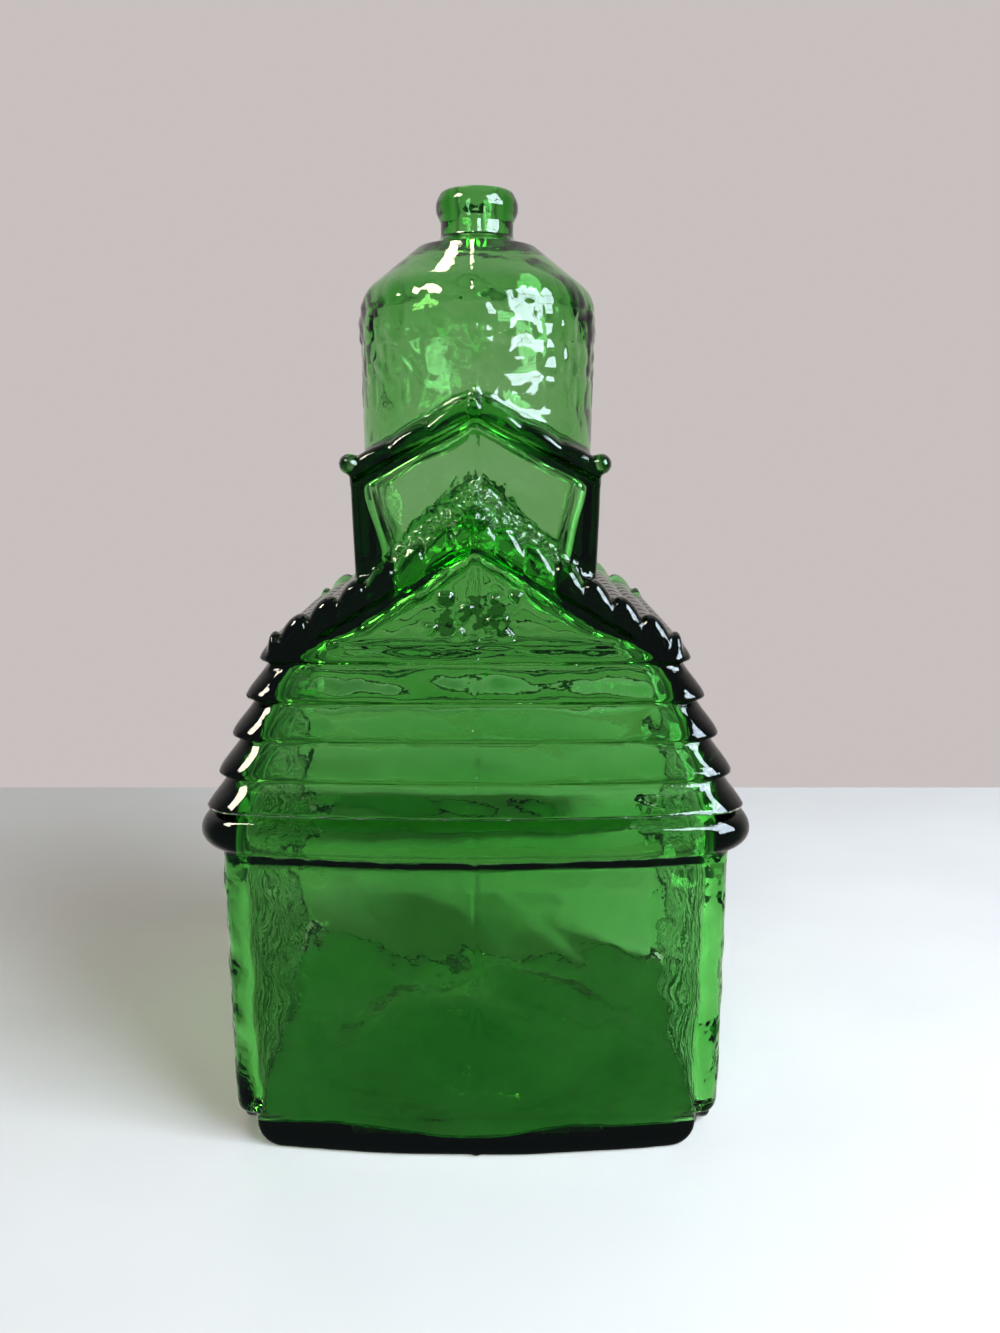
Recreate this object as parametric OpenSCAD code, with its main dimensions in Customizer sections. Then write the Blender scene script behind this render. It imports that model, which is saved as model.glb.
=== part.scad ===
// Hollow green glass bottle in the shape of a gabled house with a round tower.
// One blown piece of glass: the nodes are its areas and they meet face to face.
// X is the width, Y the depth (front is -Y), Z is up. Origin: middle of the footprint, on the ground.

/* [Lower storey] */
// width over the corner strips
house_w = 90.8; // [84:0.2:98]
// depth over the corner strips
house_d = 74.6; // [68:0.2:82]
// how far the front and back panels stand out from the corner strips
front_out = 2.2; // [1:0.1:3]
// how much further they bow out at their middle
front_bow = 3.5; // [2:0.1:5]
// how far the side panels stand out from the corner strips
side_out = 0.5; // [0.2:0.1:1.5]
// how much further they bow out at their middle
side_bow = 1; // [0.5:0.1:3]
// half width of the front and back panels
panel_x = 41.9; // [38:0.1:44]
// half width of the side panels
panel_y = 33.8; // [30:0.1:36]
// top of the base
base_h = 8; // [7:0.1:10]
// top of the panel walls
wall_top = 59; // [56:0.5:62]
// glass thickness
wall_t = 3.4; // [2.8:0.1:4]
// radius of the inner corners
inner_r = 7; // [4:0.5:10]
// height of the push-up under the base
kick_h = 3; // [1:0.1:4]

/* [Eave] */
// top of the eave roll
eave_top = 67.3; // [65:0.1:69]
// reach of the roll to the side
eave_x = 49.1; // [47:0.1:51]
// reach of the roll to the front
eave_y = 47; // [45:0.1:49]
// inside of the roll at the side
eave_in_x = 41.4; // [39:0.1:43]
// inside of the roll at the front
eave_in_y = 37.6; // [36:0.1:40]

/* [Mansard roof] */
// number of courses, the last one cut off by the top
courses = 5; // [4:1:6]
// height of a full course
course_h = 6.55; // [6:0.02:7]
// top of the mansard
mansard_top = 95.5; // [93:0.5:98]
// half width at its top
mansard_x = 36.9; // [34:0.1:39]
// half depth at its top
mansard_y = 31.3; // [29:0.1:33]
// how far each course stands out over the one below
course_lap = 1.1; // [0.6:0.1:1.6]
// half width at its foot
mansard_foot_x = 46.6; // [45:0.1:48]
// half depth at its foot
mansard_foot_y = 42; // [40:0.1:44]
// glass thickness at its top
mansard_t = 3.4; // [2.8:0.1:4]
// glass thickness at its foot, at the side
mansard_foot_tx = 4.2; // [3:0.1:5]
// glass thickness at its foot, at the front
mansard_foot_ty = 4; // [3:0.1:5]

/* [Main gables and roof] */
// height of the roof at its ridge
ridge_z = 117.4; // [114:0.1:120]
// height of the roof at its eaves
roof_edge_z = 96; // [95.6:0.1:98]
// thickness of the gable walls
gable_t = 3.4; // [2.8:0.1:4]
// width of the bargeboard
board_w = 4.4; // [3:0.1:6]
// height of the bargeboard over the roof
board_up = 2; // [1:0.1:3]
// radius of the knob at the apex
knob_r = 1.9; // [1.4:0.1:2.4]

/* [Upper storey] */
// half width
storey_x = 23.1; // [22:0.1:24]
// half depth
storey_y = 24; // [22:0.1:26]
// wall thickness
storey_t = 3; // [2.4:0.1:3.6]
// height of the knobs at its eaves
end_knob_z = 128.1; // [127:0.1:129]
// radius of those knobs
end_knob_r = 1.7; // [1.2:0.1:2.2]
// how far its end walls reach down below the main ridge
storey_drop = 4.2; // [3.5:0.1:5]
// height of the flare's apex on the storey's wall
flare_z = 126.2; // [122:0.1:128]
// top of the side walls
storey_top = 126; // [124:0.1:128]
// apex of the storey's gable
storey_apex = 140.5; // [137:0.1:143]
// height of the gable's edge
storey_edge = 128.6; // [127:0.1:130]

/* [Tower and neck] */
// outer radius of the tower
tower_r = 23.3; // [22:0.1:24]
// top of the tower
tower_top = 159.7; // [155:0.1:164]
// radius where the shoulder's cone ends
cone_r = 11.7; // [10:0.1:13]
// height where the shoulder's cone ends
cone_top = 169; // [167:0.1:171]
// foot of the neck
neck_z = 170.2; // [169:0.1:172]
// outer radius of the neck
neck_r = 7.1; // [6:0.1:7.4]
// radius of the mouth's bore
bore_r = 3.6; // [3.2:0.1:4]
// foot of the lip
lip_z = 173.6; // [172:0.1:175]
// outer radius of the lip
lip_r = 8; // [7.6:0.05:8.6]
// height over all
total_h = 179.3; // [177:0.1:182]

/* [Hidden] */
$fn = 96;
glass = [0.22, 0.5, 0.2, 0.6];
hx = house_w / 2;
hy = house_d / 2;
// where the front wall ends and the corner begins
cut_x = 35;
cut_y = 27;
slope = (ridge_z - roof_edge_z) / mansard_x;
roof_a = atan(slope);
s_slope = (storey_apex - storey_edge) / storey_x;
s_a = atan(s_slope);

// radius of an arc that rises by s over half a chord c
function arc_r(c, s) = (c * c + s * s) / (2 * s);
fr = arc_r(panel_x, front_bow);
sr = arc_r(panel_y, side_bow);
front_y = hy + front_out + front_bow;
side_x = hx + side_out + side_bow;

// plan between two arcs that bow to the front and back
module bow_y(x, y, r) {
  intersection() {
    square([2 * x, 2 * y + 2], center = true);
    translate([0, r - y]) circle(r, $fn = 360);
    translate([0, y - r]) circle(r, $fn = 360);
  }
}

// plan between two arcs that bow to the sides
module bow_x(x, y, r) {
  intersection() {
    square([2 * x + 2, 2 * y], center = true);
    translate([r - x, 0]) circle(r, $fn = 360);
    translate([x - r, 0]) circle(r, $fn = 360);
  }
}

module round_rect(x, y, r) {
  square([2 * x, 2 * (y - r)], center = true);
  square([2 * (x - r), 2 * y], center = true);
  for (sx = [-1, 1], sy = [-1, 1])
    translate([sx * (x - r), sy * (y - r)]) circle(r, $fn = 48);
}

module outer_plan() {
  round_rect(hx, hy, 1.5);
  bow_y(panel_x, front_y, fr);
  bow_x(side_x, panel_y, sr);
}

module inner_plan() {
  intersection() {
    round_rect(side_x - wall_t, front_y - wall_t, inner_r + 4);
    bow_y(hx, front_y - wall_t, fr);
    bow_x(side_x - wall_t, hy + 8, sr);
    round_rect(hx - 2.2, hy + 4, inner_r);
  }
}

// half section of a low dome: reach r, rise h, foot at z, and a flat underside 2 mm lower
function dome(r, h, z) = concat([[0, z - 2], [r, z - 2]],
  [for (i = [0 : 6]) [r * (1 - i / 6), z + h * (1 - pow(1 - i / 6, 2))]]);

// a slab whose lower corners are rounded, seen from the front
module panel_face(x, r) {
  translate([-x, r]) square([2 * x, base_h - r]);
  translate([-(x - r), 0]) square([2 * (x - r), base_h]);
  for (s = [-1, 1]) translate([s * (x - r), r]) circle(r, $fn = 48);
}

module base() {
  color(glass)
  difference() {
    union() {
      intersection() {
        linear_extrude(base_h) bow_y(panel_x, front_y, fr);
        rotate([90, 0, 0]) linear_extrude(200, center = true) panel_face(panel_x, 4.7);
      }
      intersection() {
        linear_extrude(base_h) bow_x(side_x, panel_y, sr);
        rotate([90, 0, 90]) linear_extrude(200, center = true) panel_face(panel_y, 4.7);
      }
      translate([0, 0, 1.2]) linear_extrude(base_h - 1.2) round_rect(hx - 3, hy - 2, 4);
      translate([0, 0, 7]) linear_extrude(base_h - 7) outer_plan();
    }
    // the pocket's floor rises over the push-up
    difference() {
      translate([0, 0, 4.6]) linear_extrude(base_h) inner_plan();
      rotate_extrude($fn = 64) polygon(dome(33, 3, 4.6));
    }
    rotate_extrude($fn = 64) polygon(dome(30, kick_h, 0));
  }
}

module wall_ring() {
  difference() {
    translate([0, 0, base_h]) linear_extrude(wall_top - base_h) outer_plan();
    translate([0, 0, base_h - 1]) linear_extrude(wall_top - base_h + 2) inner_plan();
  }
}

module wall_y(s) {
  color(glass)
  intersection() {
    wall_ring();
    translate([-cut_x, s > 0 ? 0 : -60, 0]) cube([2 * cut_x, 60, 80]);
  }
}

module wall_x(s) {
  color(glass)
  intersection() {
    wall_ring();
    translate([s > 0 ? 0 : -60, -cut_y, 0]) cube([60, 2 * cut_y, 80]);
  }
}

module corner(sx, sy) {
  color(glass)
  intersection() {
    wall_ring();
    translate([sx > 0 ? cut_x : -60, sy > 0 ? cut_y : -60, 0]) cube([60 - cut_x, 60 - cut_y, 80]);
  }
}

module wall_front() { wall_y(-1); }
module wall_back() { wall_y(1); }
module wall_left() { wall_x(-1); }
module wall_right() { wall_x(1); }
module corner_front_left() { corner(-1, -1); }
module corner_front_right() { corner(1, -1); }
module corner_back_left() { corner(-1, 1); }
module corner_back_right() { corner(1, 1); }

// section of the roll on its side of the wall: inner face at b_in, outermost at b_out
module roll_section(b_in, b_out) {
  r = (eave_top - wall_top) / 2;
  polygon(concat([[b_in, wall_top]],
    [for (i = [0 : 10]) [b_out - r + r * sin(i * 18), wall_top + r - r * cos(i * 18)]],
    [[b_in, eave_top]]));
}

// plan wedge that holds the front length of the roll
module eave_wedge() {
  linear_extrude(140) polygon([[0, 0], [70, -60.3], [-70, -60.3]]);
}

module eave_end() {
  color(glass)
  intersection() {
    translate([0, fr - eave_y, 0]) rotate([0, 0, -102])
      rotate_extrude(angle = 24, $fn = 240) translate([fr - eave_y, 0]) roll_section(eave_in_y, eave_y);
    eave_wedge();
  }
}

module eave_side() {
  color(glass)
  difference() {
    rotate([90, 0, 0]) linear_extrude(100, center = true) roll_section(eave_in_x, eave_x);
    eave_wedge();
    rotate([0, 0, 180]) eave_wedge();
  }
}

module eave_front() { eave_end(); }
module eave_back() { rotate([0, 0, 180]) eave_end(); }
module eave_right() { eave_side(); }
module eave_left() { mirror([1, 0, 0]) eave_side(); }

// section of one stepped side: half breadth b0 at the foot and b1 at the top
module step_section(b0, b1, in0, in1) {
  rise = mansard_top - eave_top;
  polygon(concat([for (i = [0 : courses - 1], k = [0, 1]) let (z = min(rise, course_h * (i + k)))
      [b0 + (b1 - b0) * z / rise + (k == 0 ? course_lap : 0.1), eave_top + z]],
    [[in1, mansard_top], [in0, eave_top]]));
}

// plan wedge that holds one side, cut along the hips
module hip_wedge() {
  linear_extrude(140) polygon([[-64.2, -61], [-8.2, -0.1], [8.2, -0.1], [64.2, -61]]);
}

module mansard_end() {
  color(glass)
  intersection() {
    rotate([0, 0, -90]) rotate([90, 0, 0])
      linear_extrude(110, center = true)
        step_section(mansard_foot_y, mansard_y, mansard_foot_y - mansard_foot_ty, mansard_y - mansard_t);
    hip_wedge();
  }
}

module mansard_side() {
  color(glass)
  difference() {
    rotate([90, 0, 0]) linear_extrude(110, center = true)
      step_section(mansard_foot_x, mansard_x, mansard_foot_x - mansard_foot_tx, mansard_x - mansard_t);
    hip_wedge();
    rotate([0, 0, 180]) hip_wedge();
  }
}

module mansard_front() { mansard_end(); }
module mansard_back() { rotate([0, 0, 180]) mansard_end(); }
module mansard_right() { mansard_side(); }
module mansard_left() { mirror([1, 0, 0]) mansard_side(); }

// front wall of the roof with its stepped bargeboard
module gable() {
  len_r = mansard_x / cos(roof_a);
  difference() {
    union() {
      rotate([90, 0, 0]) translate([0, 0, mansard_y - gable_t]) linear_extrude(gable_t)
        polygon([[-mansard_x, mansard_top], [mansard_x, mansard_top],
          [mansard_x, roof_edge_z], [0, ridge_z], [-mansard_x, roof_edge_z]]);
      for (s = [0, 1]) mirror([s, 0, 0]) {
        translate([0, -mansard_y - 1.6, ridge_z]) rotate([0, roof_a, 0]) {
          translate([0, 0, board_up - board_w]) cube([len_r - 1, gable_t + 1.2, board_w]);
          for (i = [1 : 5]) translate([len_r * i / 5 - 1.6, 0.3, 0.1]) rotate([-90, 0, 0])
            cylinder(h = gable_t + 0.6, r = 2.5, $fn = 20);
        }
      }
      translate([0, -mansard_y - 2.4, ridge_z + 0.4]) rotate([-90, 0, 0])
        cylinder(h = gable_t + 1.5, r = knob_r, $fn = 20);
    }
    translate([0, 0, mansard_top - 20]) cube([120, 120, 40], center = true);
  }
}

module gable_front() { color(glass) gable(); }
module gable_back() { color(glass) rotate([0, 0, 180]) gable(); }

module roof_half() {
  n = 6;
  d = mansard_y - gable_t;
  difference() {
    rotate([90, 0, 0]) linear_extrude(2 * d, center = true)
      polygon(concat([[0, ridge_z]],
        [for (i = [0 : n - 1], k = [0, 1])
          [mansard_x * (i + k) / n, ridge_z - slope * mansard_x * (i + k) / n + (k == 1 ? 0.6 : 0)]],
        [[mansard_x, mansard_top], [mansard_x - 3.4, mansard_top],
         [0, ridge_z - 3.6 - 0.6]]));
    translate([0, 0, 100]) cube([2 * storey_x, 2 * storey_y, 80], center = true);
  }
}

module roof_right() { color(glass) roof_half(); }
module roof_left() { color(glass) mirror([1, 0, 0]) roof_half(); }

// rough rising courses between the gable and the upper storey
module flare() {
  n = 4;
  d = mansard_y - gable_t - storey_y;
  for (i = [0 : n - 1]) {
    top = ridge_z + (flare_z - ridge_z) * (i + 1) / n;
    reach = 12 + 2.5 * i;
    translate([0, -storey_y - d * (n - 1 - i) / n, 0]) rotate([90, 0, 0])
      linear_extrude(d / n) polygon([[0, ridge_z + 0.6], [reach, ridge_z - slope * reach + 0.6],
        [reach, ridge_z - slope * reach + 1.2 + 0.7 * i], [0, top],
        [-reach, ridge_z - slope * reach + 1.2 + 0.7 * i], [-reach, ridge_z - slope * reach + 0.6]]);
  }
}

module flare_front() { color(glass) flare(); }
module flare_back() { color(glass) rotate([0, 0, 180]) flare(); }

module storey_end() {
  low = ridge_z - storey_drop;
  edge = low - storey_x * slope * 0.92;
  rotate([90, 0, 0]) translate([0, 0, storey_y - storey_t]) linear_extrude(storey_t)
    polygon([[-storey_x, edge], [0, low], [storey_x, edge],
      [storey_x, storey_top], [-storey_x, storey_top]]);
}

module storey_side(s) {
  low = ridge_z - storey_drop - storey_x * slope * 0.92;
  color(glass)
  translate([s > 0 ? storey_x - storey_t : -storey_x, storey_t - storey_y, low])
    cube([storey_t, 2 * (storey_y - storey_t), storey_top - low]);
}

module storey_front() { color(glass) storey_end(); }
module storey_back() { color(glass) rotate([0, 0, 180]) storey_end(); }
module storey_left() { storey_side(-1); }
module storey_right() { storey_side(1); }

module storey_prism(y) {
  rotate([90, 0, 0]) linear_extrude(2 * y, center = true)
    polygon([[-storey_x, storey_top], [storey_x, storey_top], [storey_x, storey_edge - 1.2],
      [0, storey_apex - 1.2], [-storey_x, storey_edge - 1.2]]);
}

module storey_roof() {
  color(glass)
  difference() {
    union() {
      storey_prism(storey_y);
      for (e = [-1, 1], s = [0, 1]) mirror([s, 0, 0]) {
        translate([0, e > 0 ? storey_y - 0.6 : -storey_y - 1, storey_apex]) rotate([0, s_a, 0])
          translate([0, 0, -2.6]) cube([storey_x / cos(s_a), 1.6, 2.6]);
        translate([storey_x - 0.2, e * (storey_y - 1.6), end_knob_z]) rotate([90, 0, 0])
          cylinder(h = 5, r = end_knob_r, center = true, $fn = 20);
        translate([storey_x * 0.52, e * storey_y, storey_apex - storey_x * 0.52 * s_slope - 1])
          rotate([90, 0, 0]) cylinder(h = 1.8, r = 1.5, center = true, $fn = 20);
      }
    }
    translate([0, 0, 100]) cylinder(h = 80, r = tower_r - 3, $fn = 96);
  }
}

module tower() {
  color(glass)
  difference() {
    translate([0, 0, storey_top]) cylinder(h = tower_top - storey_top, r = tower_r, $fn = 96);
    translate([0, 0, storey_top - 1]) cylinder(h = tower_top, r = tower_r - 3, $fn = 96);
    storey_prism(60);
  }
}

module shoulder() {
  color(glass)
  rotate_extrude($fn = 96)
    polygon([[tower_r - 3, tower_top], [tower_r, tower_top], [cone_r, cone_top], [neck_r, neck_z],
      [bore_r, neck_z], [bore_r, neck_z - 1.2], [cone_r - 1.6, cone_top - 3.4],
      [tower_r - 3.4, tower_top - 0.01]]);
}

module neck() {
  color(glass)
  translate([0, 0, neck_z]) difference() {
    cylinder(h = total_h - neck_z, r = neck_r, $fn = 96);
    translate([0, 0, -1]) cylinder(h = total_h, r = bore_r, $fn = 96);
  }
}

module lip() {
  h = total_h - lip_z;
  color(glass)
  translate([0, 0, lip_z]) rotate_extrude($fn = 96)
    polygon(concat([[neck_r, 0]],
      [for (i = [0 : 8]) [neck_r + (lip_r - neck_r) * sin(i * 22.5), h / 2 - h / 2 * cos(i * 22.5)]],
      [[neck_r, h]]));
}

base();
wall_front();
wall_back();
wall_left();
wall_right();
corner_front_left();
corner_front_right();
corner_back_left();
corner_back_right();
eave_front();
eave_back();
eave_left();
eave_right();
mansard_front();
mansard_back();
mansard_left();
mansard_right();
gable_front();
gable_back();
roof_left();
roof_right();
flare_front();
flare_back();
storey_front();
storey_back();
storey_left();
storey_right();
storey_roof();
tower();
shoulder();
neck();
lip();
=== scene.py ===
import math

import bpy
import numpy as np
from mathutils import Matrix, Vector


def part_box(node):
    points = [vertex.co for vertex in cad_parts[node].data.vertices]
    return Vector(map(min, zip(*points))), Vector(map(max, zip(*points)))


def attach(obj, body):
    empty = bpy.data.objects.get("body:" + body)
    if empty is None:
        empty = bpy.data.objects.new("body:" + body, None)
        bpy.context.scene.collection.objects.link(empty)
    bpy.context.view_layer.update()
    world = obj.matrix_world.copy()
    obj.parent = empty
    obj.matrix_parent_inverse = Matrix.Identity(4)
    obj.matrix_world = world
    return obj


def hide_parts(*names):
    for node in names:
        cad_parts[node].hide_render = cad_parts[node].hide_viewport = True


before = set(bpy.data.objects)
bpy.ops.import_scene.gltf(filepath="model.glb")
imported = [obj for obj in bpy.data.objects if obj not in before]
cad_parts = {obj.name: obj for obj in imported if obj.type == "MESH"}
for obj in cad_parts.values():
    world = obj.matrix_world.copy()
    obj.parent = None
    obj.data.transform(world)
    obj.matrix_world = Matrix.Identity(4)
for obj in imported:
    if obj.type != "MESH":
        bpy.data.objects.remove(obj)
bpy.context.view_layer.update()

# The bottle is one blown piece of glass. Its skin is worked out here as a distance field in
# millimetres (negative inside the glass), and meshed once as a closed outer and inner surface.

SIDES = ("front", "back", "left", "right")
AREAS = (
    ["base", "wall_front", "wall_back", "wall_left", "wall_right"]
    + [f"corner_{end}_{side}" for end in ("front", "back") for side in ("left", "right")]
    + [f"{area}_{side}" for area in ("eave", "mansard") for side in SIDES]
    + ["gable_front", "gable_back", "roof_left", "roof_right", "flare_front", "flare_back"]
    + ["storey_front", "storey_back", "storey_left", "storey_right", "storey_roof"]
    + ["tower", "shoulder", "neck", "lip"]
)
MM = 0.001


def box_mm(node):
    """Lowest and highest corner of a CAD node, in millimetres."""
    low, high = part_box(node)
    return [v / MM for v in low], [v / MM for v in high]


def top_of(node):
    return box_mm(node)[1][2]


def foot_of(node):
    return box_mm(node)[0][2]


# Driving sizes in millimetres. Those of the CAD nodes come from the frame.
POST_X = box_mm("corner_front_right")[1][0]
POST_Y = box_mm("corner_back_right")[1][1]
PANEL_Y = box_mm("wall_back")[1][1]
SIDE_X = box_mm("wall_right")[1][0]
PANEL_HALF_X = 41.9
PANEL_HALF_Y = 33.8
PANEL_ROUND = 4.7
FRONT_BOW = 3.5
SIDE_BOW = 1.0
STONE_DEPTH = 0.95
POST_ROUND = 4.4
POST_FOOT = 7.0
WALL_TOP = top_of("wall_front")
EAVE_TOP = top_of("eave_front")
EAVE_X = box_mm("eave_right")[1][0]
EAVE_Y = box_mm("eave_back")[1][1]
MANSARD_TOP = top_of("mansard_front")
EAVE_ROLL = 4.3
MANSARD_FOOT_X = 47.0
MANSARD_FOOT_Y = 44.8
COURSE_H = 6.55
COURSE_LAP = 1.9
FIRST_COURSE = EAVE_TOP - 0.7
GABLE_X = 36.9
GABLE_Y = 31.3
RIDGE_Z = top_of("roof_left") + 0.2
ROOF_SLOPE = 0.605
ROOF_FOOT = 90
KNOB_R = 2.3
STOREY_X = box_mm("storey_right")[1][0]
STOREY_Y = box_mm("storey_back")[1][1]
STOREY_APEX = top_of("storey_roof") - 0.8
STOREY_SLOPE = 0.515
STOREY_FOOT = 96
END_KNOB_Z = 128.1
END_KNOB_R = 1.9
FLARE_TOP = top_of("flare_front")
FLARE_SLOPE = 0.85
TOWER_R = box_mm("tower")[1][0]
TOWER_TOP = top_of("tower")
TOWER_FOOT = 118
BLOCKS_ROUND = 16
BLOCK_H = 6.2
NECK_FOOT = foot_of("neck")
NECK_R = box_mm("neck")[1][0]
LIP_FOOT = foot_of("lip")
LIP_R = box_mm("lip")[1][0]
TOTAL_H = top_of("neck")
BORE_R = 3.6
CONE_R = 11.7
CONE_TOP = 169.0
COURSE_SPAN = 6.1  # of the roof's shingle courses, measured across
STOREY_SPAN = 7.2
SEAM_H = 0.3
SEAM_HALF = 0.5
PUSH_UP_H = 4.4
PUSH_UP_R = 31.0
ROOF_IN = 5.2  # the roof's inner face, below the roof line
STOREY_ROOF_IN = 4.6
TOWER_IN = 20.2
THROAT_R = 15.5  # between the upper room and the tower
ROOM_FOOT = 92
KICK_H = 6.0
KICK_R = 22.0
FLOOR_Z = 3.7

# Profiles as (height, value) pairs, first those of the inner surface
CAVITY_BOW = [(50, 2.2), (EAVE_TOP, 2.6), (MANSARD_TOP, 0)]
CAVITY_X = [(8, 43.8), (30, 44.4), (54, 44.3), (60, 43.6), (70, 42.6), (MANSARD_TOP, 33.2), (104, 26)]
CAVITY_Y = [(8, 38.8), (52, 38.0), (56, 37.5), (60, 40.5), (70, 39.7), (MANSARD_TOP, 27.4), (104, 26.6)]
ROOM_X = [(104, 17.0), (112, 18.2), (120, 20.2), (127, 21.6)]
SHOULDER_IN = [(TOWER_TOP - 10, 32.7), (TOWER_TOP - 1.5, 20.2), (165.2, 11.7), (168.4, 4.2), (171, -9)]
MANSARD_BOW = [(WALL_TOP, 3.6), (EAVE_TOP, 3.2), (MANSARD_TOP, 0.4)]
MANSARD_ROUND = [(WALL_TOP, 7), (MANSARD_TOP, 4)]
SHOULDER_OUT = [  # a steep cone, then a flatter one up to the neck
    (TOWER_TOP - 10, TOWER_R + 12.5),
    (TOWER_TOP, TOWER_R),
    (CONE_TOP, CONE_R),
    (NECK_FOOT, NECK_R),
    (NECK_FOOT + 9, NECK_R - 40),
]
WAVES = [(0.22, 17, 21), (0.09, 8, 22), (0.03, 4, 23)]  # depth, size and seed

GLASS_TINT = (0.165, 0.73, 0.065, 1)
GLASS_DENSITY = 290
SKIN_DEPTH = 0.00006  # these two in metres
FACET_DEPTH = 0.0009
# colour that darkens the glass in small irregular spots on the front gable
DARK_SPOT_COLOUR = (0.06, 0.14, 0.05, 1)
BOARD_COLOURS = [(0.50, 0.475, 0.46, 1), (0.58, 0.555, 0.535, 1)]
WALL_COLOURS = [(0.10, 0.125, 0.13, 1), (0.58, 0.53, 0.52, 1)]
LAMP_COLOUR = (1.0, 0.9, 0.74)
TOP_COLOUR = (1.0, 0.9, 0.66)
KEY_COLOUR = (1.0, 0.95, 0.88)
WINDOW_COLOUR = (0.74, 0.87, 1.0)
WINDOW_PANES = 3  # each way
LENS = 29.17
CAMERA_PLACE = (0.0045, -0.2238, 0.1319)
CAMERA_TILT = 11.7  # degrees below level

VOXEL = 0.62


# ---------------------------------------------------------------- field helpers


def smooth_min(a, b, k):
    h = np.clip(0.5 + 0.5 * (b - a) / k, 0, 1)
    return b + (a - b) * h - k * h * (1 - h)


def smooth_max(a, b, k):
    return -smooth_min(-a, -b, k)


def smooth_step(a, b, x):
    t = np.clip((x - a) / (b - a), 0, 1)
    return t * t * (3 - 2 * t)


def rect(u, v, hu, hv, r):
    """Distance to a rectangle of half sizes hu and hv with corners of radius r."""
    qu = np.abs(u) - hu + r
    qv = np.abs(v) - hv + r
    outside = np.sqrt(np.maximum(qu, 0) ** 2 + np.maximum(qv, 0) ** 2)
    return outside + np.minimum(np.maximum(qu, qv), 0) - r


def line(x, points):
    """Piecewise straight profile through (height, value) points."""
    hs, vs = zip(*points)
    return np.interp(x, hs, vs).astype(np.float32)


def ripple(x, y, z, size, seed):
    """Smooth seeded noise of about -1 to 1, with waves about size mm long."""
    rng = np.random.default_rng(seed)
    total = 0
    for _ in range(5):
        d = rng.normal(size=3)
        d *= 2 * math.pi / size * rng.uniform(0.7, 1.4) / np.linalg.norm(d)
        total = total + np.sin(d[0] * x + d[1] * y + d[2] * z + rng.uniform(0, 6.28))
    return total / 2.6


def groove(t, width):
    """1 in the middle of a joint at each whole t, and 0 away from it."""
    f = np.abs(t - np.round(t))
    return np.exp(-((f / width) ** 2))


# ---------------------------------------------------------------- outer surface


def lower_storey(x, y, z):
    bow = FRONT_BOW * (1 - (x / PANEL_HALF_X) ** 2)
    top = WALL_TOP + 2.0
    zc, hz = top / 2, top / 2
    front = rect(x, z - zc, PANEL_HALF_X, hz, PANEL_ROUND)
    front = smooth_max(front, np.abs(y) - (PANEL_Y - FRONT_BOW) - bow - 0.2, 1.3)
    side_bow = SIDE_BOW * (1 - (y / PANEL_HALF_Y) ** 2)
    side = rect(y, z - zc, PANEL_HALF_Y, hz, PANEL_ROUND)
    side_face = np.abs(x) - (SIDE_X - SIDE_BOW) - side_bow
    stones = STONE_DEPTH * np.abs(ripple(x * 0.3, y, z * 0.7, 7.0, 5))
    stones = stones * smooth_step(34, 31, np.abs(y))
    side = smooth_max(side, side_face + stones * smooth_step(3, 9, z), 1.4)
    heel = rect(x, y, POST_X - 3.2, POST_Y - 2.2, 4)
    heel = smooth_max(heel, -(z - 1.5), 2)
    post = rect(x, y, POST_X, POST_Y, POST_ROUND) + 0.12 * ripple(x, y, z * 0.6, 5.5, 6)
    post = smooth_max(post, POST_FOOT - z, 1.6)
    field = smooth_min(smooth_min(front, side, 1.0), smooth_min(heel, post, 0.8), 0.7)
    return smooth_max(field, z - top, 0.5)


def roof_half_sizes(z):
    """Half width and half depth of the eave and the mansard at height z."""
    t = np.clip((z - WALL_TOP) / (EAVE_TOP - WALL_TOP), 0, 1)
    roll = np.sqrt(np.clip(1 - (2 * t - 1) ** 2, 0, 1))
    in_eave = (z >= WALL_TOP) & (z <= EAVE_TOP)
    i = (z - FIRST_COURSE) / COURSE_H
    f = i - np.floor(i)
    bead = np.sqrt(np.clip(1 - (1 - np.clip(f / 0.13, 0, 1)) ** 2, 0, 1))
    lap = COURSE_LAP * bead * (1 - 0.9 * smooth_step(0.12, 1, f))
    a = line(z, [(EAVE_TOP, MANSARD_FOOT_X), (MANSARD_TOP, GABLE_X)]) + lap
    b = line(z, [(EAVE_TOP, MANSARD_FOOT_Y), (MANSARD_TOP, GABLE_Y)]) + lap
    a = np.where(in_eave, EAVE_X - 3.3 + EAVE_ROLL * roll, a)
    b = np.where(in_eave, EAVE_Y - EAVE_ROLL + EAVE_ROLL * roll, b)
    return a, b


def mansard(x, y, z):
    a, b = roof_half_sizes(z)
    bow = line(z, MANSARD_BOW)
    r = line(z, MANSARD_ROUND)
    side = rect(x, np.abs(y) + bow * (x / PANEL_HALF_X) ** 2, a, b, r) * 0.92
    return smooth_max(smooth_max(side, z - MANSARD_TOP - 1.2, 1.0), WALL_TOP - z, 1.2)


def roof_line(x):
    return RIDGE_Z - ROOF_SLOPE * np.abs(x)


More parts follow.
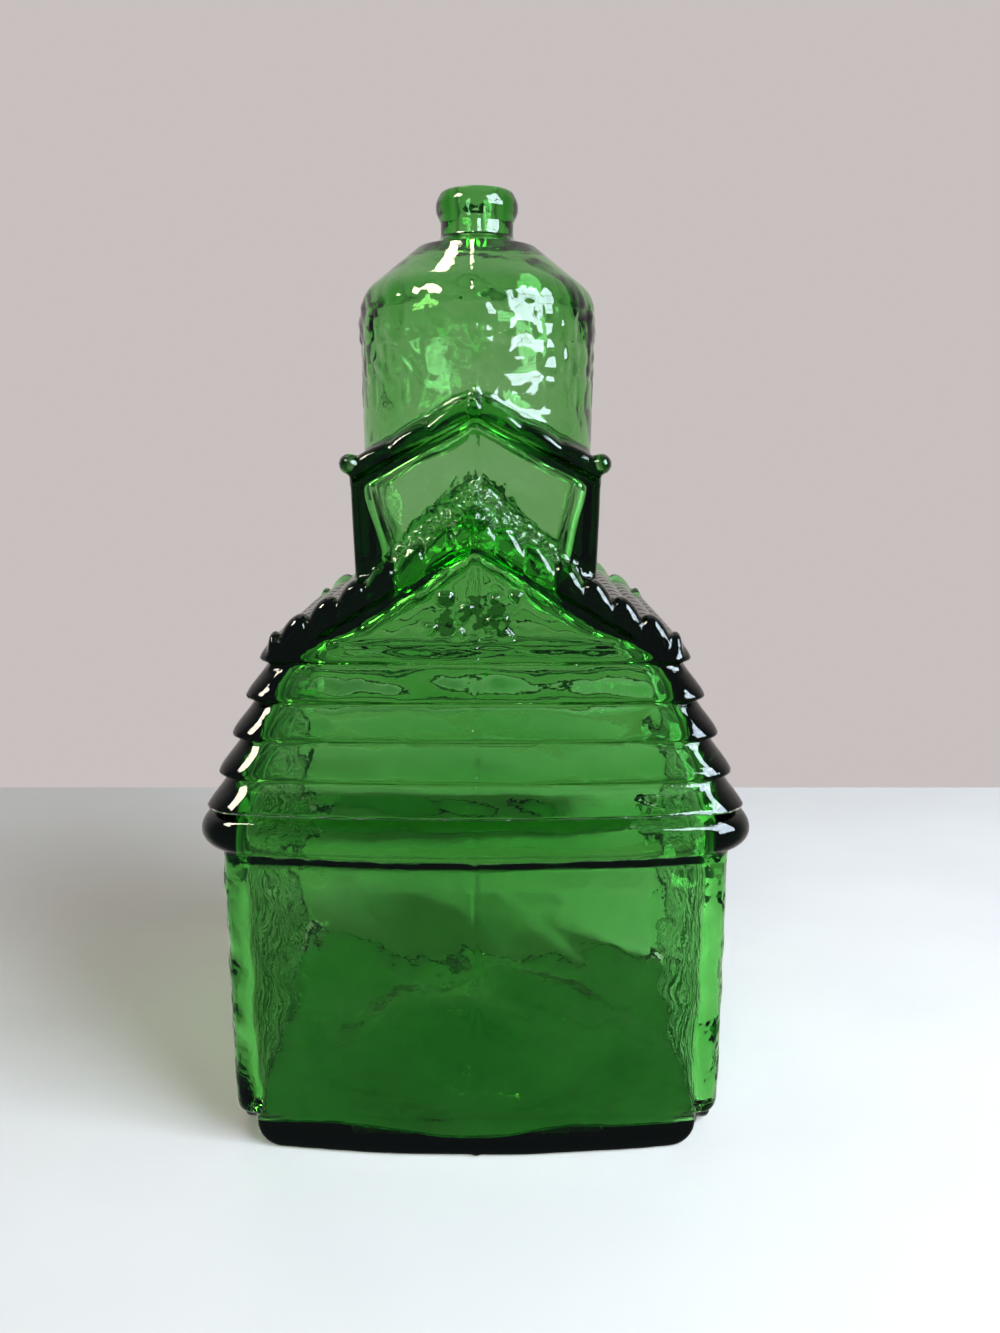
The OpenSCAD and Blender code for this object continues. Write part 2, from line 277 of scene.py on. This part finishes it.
def main_roof(x, y, z):
    cos_a = 1 / math.hypot(1, ROOF_SLOPE)
    across = np.abs(x)
    steps = (across - 3.6) / COURSE_SPAN
    bead = np.abs(np.sin(math.pi * steps * 1.15)) ** 0.6
    joint = (y / 5.2) + 0.5 * (np.floor(steps * 1.15) % 2)
    lap = 0.5 + 1.5 * bead - 0.25 * groove(joint, 0.1)
    over = (z - roof_line(x)) * cos_a
    body = smooth_max(over - lap, across - GABLE_X - 0.5, 1.2)
    leaves = 1.1 * smooth_step(0.2, 0.5, ripple(x * 0.7, y * 0.2, z, 3.3, 31))
    leaves = leaves * smooth_step(9.5, 8.5, across)
    leaves = leaves * smooth_step(96.5, 97.5, z) * smooth_step(106, 105, z)
    body = smooth_max(body, np.abs(y) - GABLE_Y - leaves, 0.8)
    board = smooth_max(over - 1.1 - 1.8 * bead, -over - 3.2, 1.4)
    board = smooth_max(board, np.abs(np.abs(y) - GABLE_Y + 1.4) - 2.8 - 0.5 * bead, 3.0)
    board = smooth_max(board, across - GABLE_X - 0.6, 1.4)
    field = smooth_min(body, board, 0.5)
    yk = np.abs(y) - (GABLE_Y + 2.2)
    knob = np.sqrt(x * x + yk * yk + (z - RIDGE_Z - 1.2) ** 2) - KNOB_R
    field = smooth_min(field, knob, 0.3)
    return smooth_max(field, ROOF_FOOT - z, 0.5)


def rough(x, y, z):
    """Broken facets, as on the hammered courses under the storey walls."""
    a = np.abs(ripple(x, y * 0.7, z, 3.8, 11))
    b = np.abs(ripple(x, y * 0.7, z, 2.3, 12))
    return 0.8 * a + 0.75 * b - 0.7


def flare(x, y, z):
    """The steep courses between the gable and the upper storey's end walls."""
    t = smooth_step(GABLE_Y - 1.5, STOREY_Y - 0.5, np.abs(y))
    low = roof_line(x) + 0.4
    high = FLARE_TOP - 2.2 - FLARE_SLOPE * np.abs(x)
    line_z = low + np.maximum(high - low, 0.6) * t**1.4
    field = (z - line_z) * 0.55 - 0.75 * rough(x, y, z) * (0.35 + 0.65 * t)
    field = smooth_max(field, np.abs(x) - STOREY_X - 1.2, 1.2)
    return smooth_max(field, np.abs(y) - GABLE_Y, 0.6)


def storey_line(x):
    return STOREY_APEX - STOREY_SLOPE * np.abs(x)


def storey(x, y, z):
    half = STOREY_X + line(z, [(107, -0.6), (127, 0)])
    walls = rect(x, y, half, STOREY_Y, 1.6)
    cos_s = 1 / math.hypot(1, STOREY_SLOPE)
    over = (z - storey_line(x)) * cos_s
    steps = (np.abs(x) - 1.2) / STOREY_SPAN
    bead = np.abs(np.sin(math.pi * steps)) ** 0.6
    body = smooth_max(walls, over - 0.2 - 0.6 * bead, 0.9)
    board = smooth_max(over - 0.3 - 0.6 * bead, -over - 3.0, 1.0)
    board = smooth_max(board, np.abs(np.abs(y) - STOREY_Y + 0.8) - 2.3 - 0.3 * bead, 2.4)
    board = smooth_max(board, np.abs(x) - STOREY_X + 0.2, 0.8)
    xk, yk = np.abs(x) - (STOREY_X - 0.2), np.abs(y) - (STOREY_Y - 0.2)
    knob = np.sqrt(xk * xk + (0.7 * yk) ** 2 + (z - END_KNOB_Z) ** 2) - END_KNOB_R
    field = smooth_min(smooth_min(body, board, 0.6), knob, 0.6)
    return smooth_max(field, STOREY_FOOT - z, 0.5)


def masonry(x, y, z):
    """Faint staggered blocks: depth of the joints between them."""
    turn = np.arctan2(x, -y) / (2 * math.pi) * BLOCKS_ROUND
    row = (z - TOWER_TOP) / BLOCK_H
    up = groove(row + 0.5, 0.1)
    side = groove(turn + 0.5 * (np.floor(row + 0.5) % 2), 0.07)
    fade = smooth_step(TOWER_TOP - 1, TOWER_TOP - 3, z) * smooth_step(136, 140, z)
    return np.maximum(up, side) * fade


def tower(x, y, z):
    r = np.sqrt(x * x + y * y)
    wall = r - line(z, [(TOWER_FOOT, TOWER_R - 0.6), (TOWER_TOP, TOWER_R)])
    dimples = 0.2 * ripple(x, y, z, 7.5, 41) + 0.13 * ripple(x, y, z, 4.0, 42)
    wall = wall + 0.2 * masonry(x, y, z) + dimples * smooth_step(140, 146, z)
    body = smooth_max(wall, (r - line(z, SHOULDER_OUT)) * 0.62, 3.2)
    neck = smooth_max(r - NECK_R, z - TOTAL_H, 0.8)
    lip_mid = (LIP_FOOT + TOTAL_H) / 2
    lip = rect(r, z - lip_mid, LIP_R, (TOTAL_H - LIP_FOOT) / 2, 2.6)
    field = smooth_min(body, smooth_max(neck, 160 - z, 1), 3.0)
    field = smooth_min(field, smooth_max(lip, 3 - r, 0.5), 0.7)
    return smooth_max(field, TOWER_FOOT - z, 0.5)


def underside(x, y, z):
    """The push-up: negative in the hollow under the base."""
    r2 = x * x + (y * 1.08) ** 2
    return z - PUSH_UP_H * np.maximum(1 - r2 / PUSH_UP_R**2, -0.6)


def outer(x, y, z):
    field = smooth_min(lower_storey(x, y, z), mansard(x, y, z), 0.8)
    field = smooth_min(field, main_roof(x, y, z), 0.8)
    field = smooth_min(field, flare(x, y, z), 0.8)
    field = smooth_min(field, storey(x, y, z), 1.6)
    field = smooth_min(field, tower(x, y, z), 1.8)
    seam = SEAM_H * np.exp(-((x / SEAM_HALF) ** 2)) * smooth_step(2, 6, np.abs(y))
    seam = seam * smooth_step(TOTAL_H - 1, TOTAL_H - 4, z)
    field = field - seam - 0.05 * ripple(x, y, z, 26, 2)
    field = smooth_max(field, -underside(x, y, z), 1.5)
    return smooth_max(field, -z, 0.3)


# ---------------------------------------------------------------- inner surface


def inner(x, y, z):
    bow = line(z, CAVITY_BOW)
    a = line(z, CAVITY_X)
    b = line(z, CAVITY_Y)
    lower = rect(x, np.abs(y) + bow * (x / PANEL_HALF_X) ** 2, a, b, 4.0) * 0.9
    kick = KICK_H * np.exp(-(x * x + y * y) / KICK_R**2)
    dip = 2.4 * np.exp(-((x / 14.0) ** 2)) * smooth_step(18, 33, np.abs(y))
    floor_z = FLOOR_Z + kick - dip
    lower = smooth_max(lower, floor_z - z, 1.6)
    lower = smooth_max(lower, (z - roof_line(x) + ROOF_IN) * 0.86, 3)
    storey_half = line(z, ROOM_X)
    under_flare = z + FLARE_SLOPE * np.abs(x) - FLARE_TOP
    room_depth = line(under_flare, [(-16, 25.6), (-5, 21.2)])
    room = rect(x, y, storey_half, room_depth, 3.5)
    room = smooth_max(room, (z - storey_line(x) + STOREY_ROOF_IN) * 0.88, 1.2)
    room = smooth_max(room, ROOM_FOOT - z, 2)
    r = np.sqrt(x * x + y * y)
    throat = smooth_max(r - THROAT_R, np.abs(z - 133) - 9, 2)
    over_roof = (storey_line(x) - 0.5 - z) * 0.89
    cone = (r - line(z, SHOULDER_IN)) * 0.62
    round_room = smooth_max(smooth_max(r - TOWER_IN, cone, 5), over_roof, 1.5)
    round_room = smooth_min(round_room, throat, 1.0)
    bore = smooth_max(r - BORE_R, 160 - z, 1)
    round_room = smooth_min(round_room, bore, 1.5)
    field = smooth_min(smooth_min(lower, room, 4), round_room, 2)
    calm = 1 - 0.9 * smooth_step(160, 170, z)
    wave = sum(depth * ripple(x, y, z, size, seed) for depth, size, seed in WAVES)
    return field + wave * calm


def bottle(x, y, z):
    return smooth_max(outer(x, y, z), -inner(x, y, z), 0.5)


# ---------------------------------------------------------------- meshing


def sample(field, low, high, step):
    """The field on a grid, worked out in slices to keep memory small."""
    axes = [np.arange(a, b + step, step, dtype=np.float32) for a, b in zip(low, high)]
    x, y, zs = axes[0][:, None, None], axes[1][None, :, None], axes[2]
    parts = [field(x, y, zs[None, None, i : i + 24]) for i in range(0, len(zs), 24)]
    shape = (len(axes[0]), len(axes[1]))
    parts = [np.broadcast_to(p, shape + p.shape[2:]) for p in parts]
    return np.concatenate(parts, axis=2).astype(np.float32)


def crossings(grid, cells):
    """Mean of the places where the surface cuts each cell's edges, in cell units."""
    corner = np.array([(i, j, k) for i in (0, 1) for j in (0, 1) for k in (0, 1)])
    value = [grid[tuple((cells + c).T)] for c in corner]
    total = np.zeros((len(cells), 3), np.float32)
    count = np.zeros(len(cells), np.float32)
    for m in range(8):
        for n in range(m + 1, 8):
            if np.abs(corner[m] - corner[n]).sum() != 1:
                continue
            cut = (value[m] < 0) != (value[n] < 0)
            t = np.where(cut, value[m] / np.where(cut, value[m] - value[n], 1), 0)
            total += cut[:, None] * (corner[m] + t[:, None] * (corner[n] - corner[m]))
            count += cut
    return cells + total / count[:, None]


def surface_quads(inside, index):
    """One quad round each grid edge that the surface cuts, facing out of the glass."""
    quads = []
    for axis in range(3):
        u, v = (axis + 1) % 3, (axis + 2) % 3
        here = [slice(1, -1)] * 3
        here[axis] = slice(0, -1)
        there = list(here)
        there[axis] = slice(1, None)
        a, b = inside[tuple(here)], inside[tuple(there)]
        for out, flip in ((a & ~b, False), (~a & b, True)):
            base = np.argwhere(out) + [0 if i == axis else 1 for i in range(3)]
            ring = []
            for du, dv in ((-1, -1), (0, -1), (0, 0), (-1, 0)):
                cell = base.copy()
                cell[:, u] += du
                cell[:, v] += dv
                ring.append(index[tuple(cell.T)])
            quads.append(np.stack(ring[::-1] if flip else ring, axis=1))
    return np.concatenate(quads)


def settle(field, points, rounds=3, reach=0.12):
    """Moves the points onto the surface along the field's gradient."""
    for _ in range(rounds):
        here = field(*points.T)
        nearby = [field(*(points + reach * e).T) for e in np.eye(3, dtype=np.float32)]
        slope = np.stack([there - here for there in nearby], axis=1)
        slope /= reach
        size = np.maximum((slope**2).sum(1), 0.05)
        move = slope * (here / size)[:, None]
        length = np.linalg.norm(move, axis=1, keepdims=True)
        points = points - move * np.minimum(1, 0.35 / np.maximum(length, 1e-6))
    return points


def mesh_field(name, field, low, high, step):
    grid = sample(field, low, high, step)
    inside = grid < 0
    corners = [inside[i : i + s[0], j : j + s[1], k : k + s[2]]
               for s in [tuple(n - 1 for n in inside.shape)]
               for i in (0, 1) for j in (0, 1) for k in (0, 1)]
    some, every = np.logical_or.reduce(corners), np.logical_and.reduce(corners)
    cells = np.argwhere(some & ~every)
    index = np.full(some.shape, -1, np.int32)
    index[tuple(cells.T)] = np.arange(len(cells))
    points = np.array(low, np.float32) + step * crossings(grid, cells).astype(np.float32)
    points = settle(field, points)
    quads = surface_quads(inside, index)
    mesh = bpy.data.meshes.new(name)
    mesh.vertices.add(len(points))
    mesh.vertices.foreach_set("co", (points * MM).astype(np.float32).ravel())
    mesh.loops.add(quads.size)
    mesh.loops.foreach_set("vertex_index", quads.astype(np.int32).ravel())
    mesh.polygons.add(len(quads))
    mesh.polygons.foreach_set("loop_start", np.arange(0, quads.size, 4, dtype=np.int32))
    mesh.polygons.foreach_set("use_smooth", np.ones(len(quads), bool))
    mesh.update(calc_edges=True)
    mesh.validate()
    return mesh


def hammered(x, y, z):
    """How strongly each point of the skin carries the mould's fine hammered texture."""
    flare_line = roof_line(x) + 1.5
    on_flare = smooth_step(0, 2, z - flare_line)
    on_flare = on_flare * smooth_step(STOREY_Y - 1.5, STOREY_Y + 0.2, np.abs(y))
    on_flare = on_flare * smooth_step(STOREY_X + 3, STOREY_X + 1, np.abs(x))
    on_flare = on_flare * smooth_step(1.5, 0, z - FLARE_TOP + 1.5 + FLARE_SLOPE * np.abs(x))
    on_side = smooth_step(POST_X - 1.5, POST_X - 0.5, np.abs(x))
    on_side = on_side * smooth_step(WALL_TOP, WALL_TOP - 2, z)
    return np.maximum(on_flare, 0.4 * on_side)


def speckled(x, y, z):
    """The patch on the front gable where the glass colour is darkened in small irregular spots."""
    patch = smooth_step(9.5, 7.5, np.abs(x))
    patch = patch * smooth_step(96.5, 98, z) * smooth_step(107, 104.5, z)
    return patch * smooth_step(GABLE_Y - 2, GABLE_Y - 1, -y)


def add_mask(mesh, name, values):
    layer = mesh.attributes.new(name, "FLOAT", "POINT")
    layer.data.foreach_set("value", np.asarray(values, np.float32))


# ---------------------------------------------------------------- materials


def nodes_of(name):
    material = bpy.data.materials.new(name)
    material.use_nodes = True
    tree = material.node_tree
    tree.nodes.clear()
    out = tree.nodes.new("ShaderNodeOutputMaterial")
    return material, tree, out


def bump(tree, height, distance, strength=None, under=None):
    node = tree.nodes.new("ShaderNodeBump")
    node.inputs["Distance"].default_value = distance
    tree.links.new(height, node.inputs["Height"])
    if strength:
        tree.links.new(strength, node.inputs["Strength"])
    if under:
        tree.links.new(under, node.inputs["Normal"])
    return node.outputs["Normal"]


def skin_bump(tree):
    """Faint unevenness of the cooled skin everywhere, and facets where the mould is hammered."""
    place = tree.nodes.new("ShaderNodeTexCoord").outputs["Object"]
    skin = tree.nodes.new("ShaderNodeTexNoise")
    skin.inputs["Scale"].default_value = 260
    skin.inputs["Detail"].default_value = 3
    facets = tree.nodes.new("ShaderNodeTexVoronoi")
    facets.inputs["Scale"].default_value = 620
    for texture in (skin, facets):
        tree.links.new(place, texture.inputs["Vector"])
    mask = tree.nodes.new("ShaderNodeAttribute")
    mask.attribute_name = "hammered"
    fine = bump(tree, skin.outputs["Fac"], SKIN_DEPTH)
    return bump(tree, facets.outputs["Distance"], FACET_DEPTH, mask.outputs["Fac"], fine)


def speck_colour(tree):
    """Clear skin, with its colour darkened in small irregular spots inside the speckled patch."""
    place = tree.nodes.new("ShaderNodeTexCoord").outputs["Object"]
    spot_noise = tree.nodes.new("ShaderNodeTexNoise")
    spot_noise.inputs["Scale"].default_value = 460
    spot_noise.inputs["Detail"].default_value = 2
    tree.links.new(place, spot_noise.inputs["Vector"])
    mask = tree.nodes.new("ShaderNodeAttribute")
    mask.attribute_name = "speckled"
    amount = tree.nodes.new("ShaderNodeMath")
    amount.operation = "MULTIPLY"
    tree.links.new(spot_noise.outputs["Fac"], amount.inputs[0])
    tree.links.new(mask.outputs["Fac"], amount.inputs[1])
    ramp = tree.nodes.new("ShaderNodeValToRGB")
    ramp.color_ramp.elements[0].position = 0.475
    ramp.color_ramp.elements[0].color = (1, 1, 1, 1)
    ramp.color_ramp.elements[1].position = 0.51
    ramp.color_ramp.elements[1].color = DARK_SPOT_COLOUR
    tree.links.new(amount.outputs["Value"], ramp.inputs["Fac"])
    return ramp.outputs["Color"]


def green_glass():
    material, tree, out = nodes_of("green_glass")
    shader = tree.nodes.new("ShaderNodeBsdfPrincipled")
    tree.links.new(speck_colour(tree), shader.inputs["Base Color"])
    shader.inputs["IOR"].default_value = 1.51
    shader.inputs["Transmission Weight"].default_value = 1.0
    shader.inputs["Roughness"].default_value = 0.0
    tree.links.new(skin_bump(tree), shader.inputs["Normal"])
    tree.links.new(shader.outputs["BSDF"], out.inputs["Surface"])
    tint = tree.nodes.new("ShaderNodeVolumeAbsorption")
    tint.inputs["Color"].default_value = GLASS_TINT
    tint.inputs["Density"].default_value = GLASS_DENSITY
    tree.links.new(tint.outputs["Volume"], out.inputs["Volume"])
    return material


def pale_floor():
    material, tree, out = nodes_of("pale_floor")
    shader = tree.nodes.new("ShaderNodeBsdfPrincipled")
    noise = tree.nodes.new("ShaderNodeTexNoise")
    noise.inputs["Scale"].default_value = 14
    noise.inputs["Detail"].default_value = 6
    ramp = tree.nodes.new("ShaderNodeValToRGB")
    for element, colour in zip(ramp.color_ramp.elements, BOARD_COLOURS):
        element.color = colour
    tree.links.new(noise.outputs["Fac"], ramp.inputs["Fac"])
    tree.links.new(ramp.outputs["Color"], shader.inputs["Base Color"])
    shader.inputs["Roughness"].default_value = 0.6
    tree.links.new(shader.outputs["BSDF"], out.inputs["Surface"])
    return material


# ---------------------------------------------------------------- the bottle


def build_bottle():
    low = [-EAVE_X - 2.5, -EAVE_Y - 2.5, -1.6]
    high = [EAVE_X + 2.5, EAVE_Y + 2.5, TOTAL_H + 2]
    mesh = mesh_field("bottle_glass", bottle, low, high, VOXEL)
    ob = bpy.data.objects.new("bottle_glass", mesh)
    bpy.context.scene.collection.objects.link(ob)
    places = np.empty(len(mesh.vertices) * 3, np.float32)
    mesh.vertices.foreach_get("co", places)
    places = places.reshape(-1, 3).T / MM
    add_mask(mesh, "hammered", hammered(*places))
    add_mask(mesh, "speckled", speckled(*places))
    lowest = min(v.co.z for v in mesh.vertices)
    for v in mesh.vertices:
        v.co.z -= lowest
    ob.data.materials.append(green_glass())
    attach(ob, "root")
    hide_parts(*AREAS)


# ---------------------------------------------------------------- stage


def build_floor():
    """A pale board that ends behind the bottle, kept out of mirror reflections."""
    mesh = bpy.data.meshes.new("floor")
    w, near, far = 0.45, -0.45, 0.18
    mesh.from_pydata([(-w, near, 0), (w, near, 0), (w, far, 0), (-w, far, 0)], [], [(0, 1, 2, 3)])
    ob = bpy.data.objects.new("floor", mesh)
    ob.visible_glossy = False
    bpy.context.scene.collection.objects.link(ob)
    ob.data.materials.append(pale_floor())


def area_light(name, place, aim, size, watts, colour, mirrored=True, lights_floor=True):
    data = bpy.data.lights.new(name, "AREA")
    data.shape = "RECTANGLE"
    data.size, data.size_y = size
    data.energy = watts
    data.color = colour
    ob = bpy.data.objects.new(name, data)
    bpy.context.scene.collection.objects.link(ob)
    ob.location = place
    ob.rotation_mode = "QUATERNION"
    ob.rotation_quaternion = (Vector(aim) - Vector(place)).to_track_quat("-Z", "Y")
    ob.visible_diffuse = lights_floor
    ob.visible_glossy = mirrored
    ob.visible_transmission = mirrored


def build_world():
    """Pale wall behind the object, dimmer to the sides, overhead and behind the camera."""
    world = bpy.data.worlds.new("studio")
    world.use_nodes = True
    tree = world.node_tree
    place = tree.nodes.new("ShaderNodeTexCoord")
    split = tree.nodes.new("ShaderNodeSeparateXYZ")
    ahead = tree.nodes.new("ShaderNodeMapRange")
    ahead.interpolation_type = "SMOOTHSTEP"
    ahead.inputs["From Min"].default_value = -0.1
    ahead.inputs["From Max"].default_value = 0.75
    ramp = tree.nodes.new("ShaderNodeValToRGB")
    for element, colour in zip(ramp.color_ramp.elements, WALL_COLOURS):
        element.color = colour
    tree.links.new(place.outputs["Generated"], split.inputs["Vector"])
    tree.links.new(split.outputs["Y"], ahead.inputs["Value"])
    tree.links.new(ahead.outputs["Result"], ramp.inputs["Fac"])
    tree.links.new(ramp.outputs["Color"], tree.nodes["Background"].inputs["Color"])
    bpy.context.scene.world = world


def build_lights():
    build_world()
    middle = (0, 0, 0.09)
    lamp, top, key = (-0.45, -0.23, 0.62), (-0.15, 0.25, 0.70), (-0.05, -0.9, 0.6)
    area_light("warm_left", lamp, middle, (0.24, 0.24), 4.6, LAMP_COLOUR, lights_floor=False)
    area_light("warm_top", top, (0, 0, 0.16), (0.07, 0.07), 0.22, TOP_COLOUR)
    area_light("front_top", key, middle, (0.5, 0.35), 7.2, KEY_COLOUR, mirrored=False)
    for i in range(WINDOW_PANES):
        for j in range(WINDOW_PANES):
            pane = (0.5 - 0.02 * j, -0.62 + 0.2 * i, 0.26 + 0.19 * j)
            area_light(f"window_{i}_{j}", pane, middle, (0.17, 0.17), 1.6, WINDOW_COLOUR)


def build_camera():
    data = bpy.data.cameras.new("camera")
    data.sensor_width = 36
    data.lens = LENS
    data.clip_start = 0.01
    ob = bpy.data.objects.new("camera", data)
    bpy.context.scene.collection.objects.link(ob)
    ob.location = CAMERA_PLACE
    ob.rotation_euler = (math.radians(90 - CAMERA_TILT), 0, 0)
    bpy.context.scene.camera = ob


def set_render():
    scene = bpy.context.scene
    scene.view_settings.view_transform = "Standard"
    scene.cycles.max_bounces = 32
    scene.cycles.transmission_bounces = 32
    scene.cycles.glossy_bounces = 12
    scene.cycles.diffuse_bounces = 4
    scene.cycles.volume_bounces = 0
    scene.cycles.sample_clamp_indirect = 8
    scene.cycles.blur_glossy = 0.3


build_bottle()
build_floor()
build_lights()
build_camera()
set_render()
